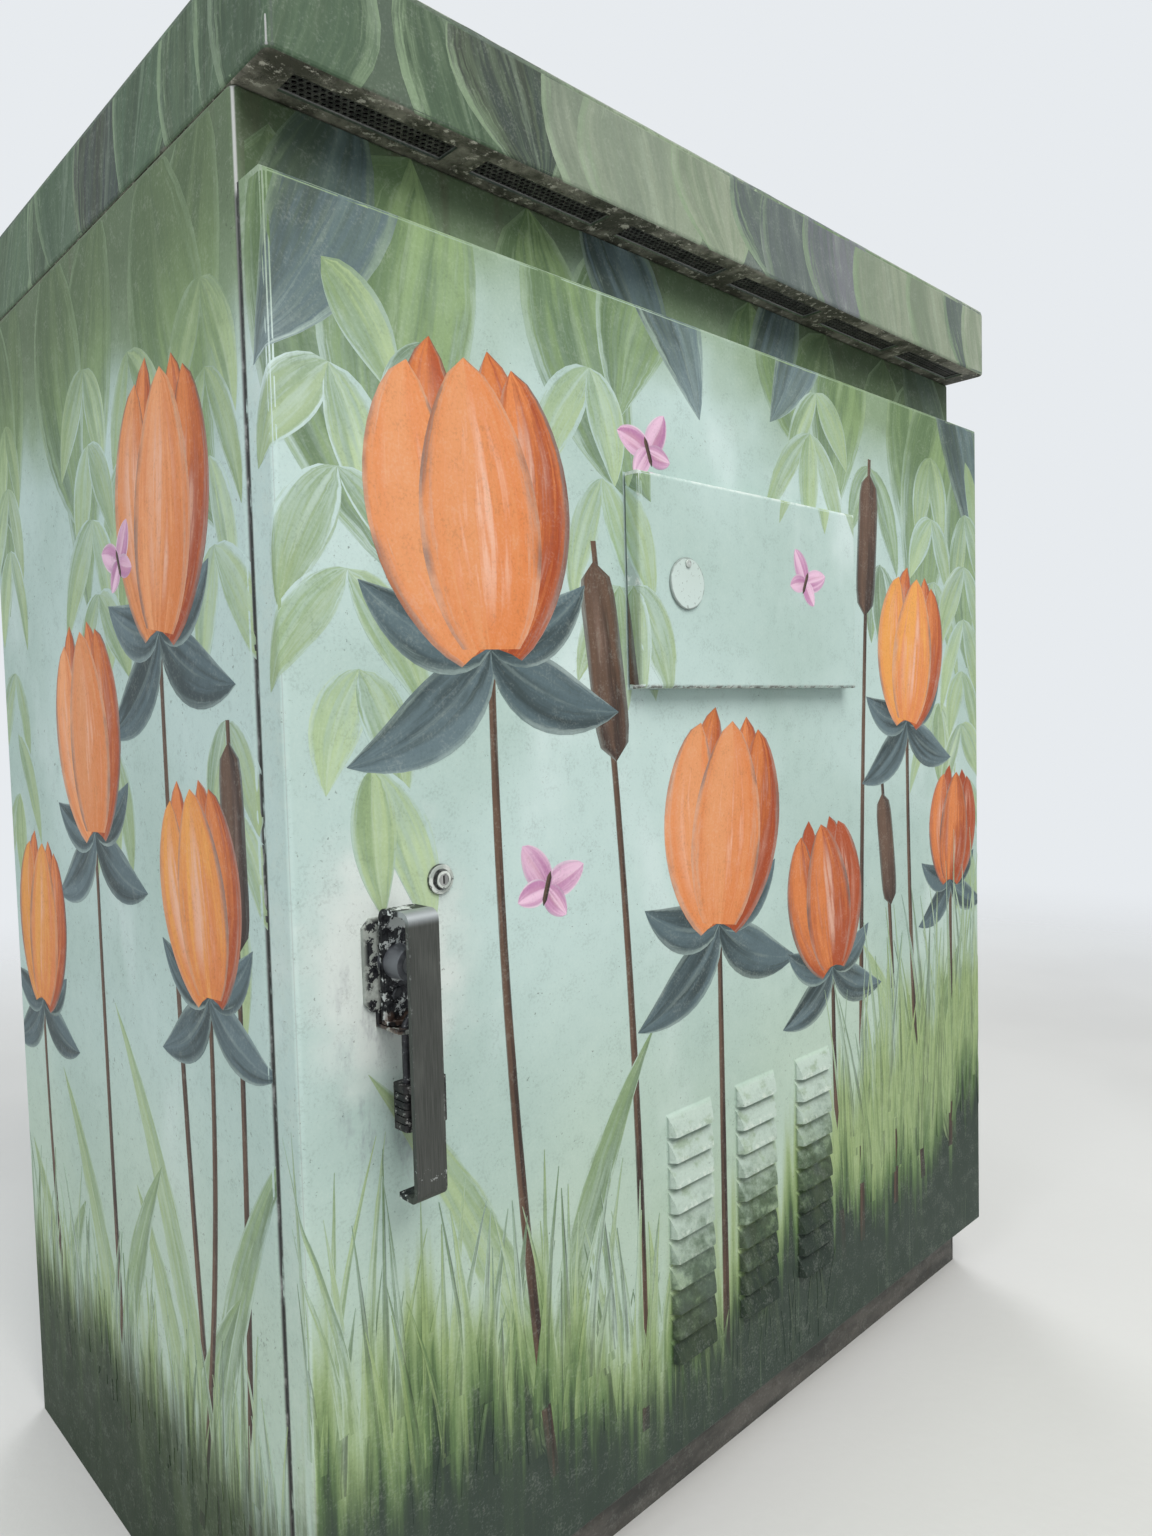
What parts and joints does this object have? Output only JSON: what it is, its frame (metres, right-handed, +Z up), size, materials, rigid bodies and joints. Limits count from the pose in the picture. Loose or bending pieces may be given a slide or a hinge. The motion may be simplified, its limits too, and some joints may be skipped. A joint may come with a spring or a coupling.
{
  "type": "roadside utility cabinet",
  "caption": "Tall folded-metal roadside cabinet with a hinged louvred door, a small inset access door, a padlocked lever handle, an overhanging vented roof and shelves inside.",
  "frame": {"origin": "centre of the anchor hole pattern, on the underside of the base flange", "axes": "+X to the right seen from the door side, -Y towards the person at the door, +Z up"},
  "size_m": [1.127, 0.7513, 1.425],
  "materials": {
    "painted_body": "hand-painted mural over a pale green coat, worn",
    "painted_roof": "pale green coat, grimy",
    "painted_hardware": "brushed coat over cast and plate metal, chipped",
    "bare_aluminium": "mill finish, dull",
    "galvanised_steel": "zinc plated, satin",
    "stainless_steel": "satin",
    "lock_metal": "worn, satin",
    "padlock_metal": "weathered",
    "brass": "satin",
    "foam_rubber": "matte",
    "black_plastic": "matte",
    "white_plastic": "satin",
    "grey_plastic": "satin",
    "nylon": "satin",
    "filter_media": "fibrous"
  },
  "bodies": {
    "cabinet": {"body_shell": "painted_body", "opening_lip": "bare_aluminium", "roof_lid": "painted_roof", "vent_screens": "bare_aluminium", "plenum_tray": "bare_aluminium", "fan_housing": "black_plastic", "fan_guard": "galvanised_steel", "back_panel": "bare_aluminium", "panel_standoffs": "galvanised_steel", "terminal_strips": "black_plastic", "ground_bar": "brass", "breaker_block": "black_plastic", "side_channels": "galvanised_steel", "lower_shelf": "bare_aluminium", "upper_shelf": "bare_aluminium", "shelf_brackets": "galvanised_steel", "cabinet_lamp": "white_plastic", "hinge_frame_leaf": "stainless_steel", "hinge_pin": "stainless_steel", "hinge_screws": "stainless_steel"},
    "fan": {"fan_rotor": "black_plastic"},
    "main_breaker": {"main_breaker_lever": "white_plastic"},
    "branch_breaker": {"branch_breaker_lever": "white_plastic"},
    "door": {"door_panel": "painted_body", "door_gasket": "foam_rubber", "hinge_door_leaf": "stainless_steel", "handle_base_plate": "painted_hardware", "shaft_bush": "brass", "latch_bracket": "galvanised_steel", "padlock_shackle": "padlock_metal", "lock_case": "lock_metal", "rod_guides": "grey_plastic", "air_filter": "filter_media", "filter_retainer": "bare_aluminium", "switch_box": "bare_aluminium", "switch_bodies": "black_plastic", "police_hinge_fixed_leaf": "stainless_steel", "police_hinge_pin": "stainless_steel", "stay_bracket": "galvanised_steel", "stay_clip": "grey_plastic"},
    "padlock": {"padlock_body": "padlock_metal"},
    "handle_turn": {"handle": "painted_hardware", "handle_shaft": "galvanised_steel", "latch_cam": "galvanised_steel"},
    "main_plug": {"lock_plug": "lock_metal"},
    "main_bolt": {"lock_bolt": "galvanised_steel"},
    "upper_latch": {"upper_rod": "galvanised_steel"},
    "lower_latch": {"lower_rod": "galvanised_steel"},
    "upper_wheel": {"upper_roller": "nylon"},
    "lower_wheel": {"lower_roller": "nylon"},
    "small_door": {"police_door": "painted_body", "police_gasket": "foam_rubber", "police_hinge_door_leaf": "stainless_steel", "police_lock": "lock_metal", "cover_rivet": "stainless_steel"},
    "small_plug": {"police_lock_plug": "lock_metal"},
    "key_cover": {"keyhole_cover": "painted_hardware"},
    "signal_switch": {"signal_toggle": "stainless_steel"},
    "flash_switch": {"flash_toggle": "stainless_steel"},
    "stay": {"stay_rod": "galvanised_steel"}
  },
  "joints": [
    {"name": "door_swing", "type": "hinge", "parent": "cabinet", "child": "door", "pos_m": [0.5638, -0.33175, 0.667], "axis": [0, 0, 1], "range_deg": [0, 170]},
    {"name": "handle_turn", "type": "hinge", "parent": "door", "child": "handle_turn", "pos_m": [-0.476, -0.3713, 0.667], "axis": [0, -1, 0], "range_deg": [0, 90]},
    {"name": "upper_rod_slide", "type": "slide", "parent": "door", "child": "upper_latch", "axis": [0, 0, -1], "range_m": [0, 0.0241]},
    {"name": "lower_rod_slide", "type": "slide", "parent": "door", "child": "lower_latch", "axis": [0, 0, 1], "range_m": [0, 0.0241]},
    {"name": "upper_roller_spin", "type": "hinge", "parent": "upper_latch", "child": "upper_wheel", "pos_m": [-0.476, -0.319, 1.2091], "axis": [1, 0, 0], "continuous": true},
    {"name": "lower_roller_spin", "type": "hinge", "parent": "lower_latch", "child": "lower_wheel", "pos_m": [-0.476, -0.319, 0.1249], "axis": [1, 0, 0], "continuous": true},
    {"name": "main_key_turn", "type": "hinge", "parent": "door", "child": "main_plug", "pos_m": [-0.424, -0.3713, 0.724], "axis": [0, -1, 0], "range_deg": [0, 90]},
    {"name": "main_bolt_slide", "type": "slide", "parent": "door", "child": "main_bolt", "axis": [-1, 0, 0], "range_m": [0, 0.02]},
    {"name": "padlock_drop", "type": "slide", "parent": "door", "child": "padlock", "axis": [0, 0, -1], "range_m": [0, 0.009]},
    {"name": "police_door_swing", "type": "hinge", "parent": "door", "child": "small_door", "pos_m": [0.1949, -0.3744, 0.98525], "axis": [0, 0, 1], "range_deg": [0, 100]},
    {"name": "police_key_turn", "type": "hinge", "parent": "small_door", "child": "small_plug", "pos_m": [-0.125, -0.3918, 0.98525], "axis": [0, -1, 0], "range_deg": [0, 90]},
    {"name": "keyhole_cover_swing", "type": "hinge", "parent": "small_door", "child": "key_cover", "pos_m": [-0.125, -0.3918, 1.00475], "axis": [0, -1, 0], "range_deg": [-100, 100]},
    {"name": "signal_toggle_tilt", "type": "hinge", "parent": "door", "child": "signal_switch", "pos_m": [-0.04, -0.2915, 0.98525], "axis": [1, 0, 0], "range_deg": [0, 28]},
    {"name": "flash_toggle_tilt", "type": "hinge", "parent": "door", "child": "flash_switch", "pos_m": [0.04, -0.2915, 0.98525], "axis": [1, 0, 0], "range_deg": [0, 28]},
    {"name": "stay_swing", "type": "hinge", "parent": "door", "child": "stay", "pos_m": [0.25, -0.343, 0.141], "axis": [0, 0, -1], "range_deg": [0, 90]},
    {"name": "fan_spin", "type": "hinge", "parent": "cabinet", "child": "fan", "pos_m": [0, 0.04, 1.305], "axis": [0, 0, 1], "continuous": true},
    {"name": "main_breaker_tilt", "type": "hinge", "parent": "cabinet", "child": "main_breaker", "pos_m": [0.305, 0.2413, 0.7], "axis": [1, 0, 0], "range_deg": [0, 36]},
    {"name": "branch_breaker_tilt", "type": "hinge", "parent": "cabinet", "child": "branch_breaker", "pos_m": [0.355, 0.2413, 0.7], "axis": [1, 0, 0], "range_deg": [0, 36]}
  ],
  "couplings": [
    {"joint": "upper_rod_slide", "follows": "handle_turn", "m_per_rad": 0.015279},
    {"joint": "lower_rod_slide", "follows": "handle_turn", "m_per_rad": 0.015279},
    {"joint": "main_key_turn", "follows": "main_bolt_slide", "rad_per_m": 78.54}
  ]
}
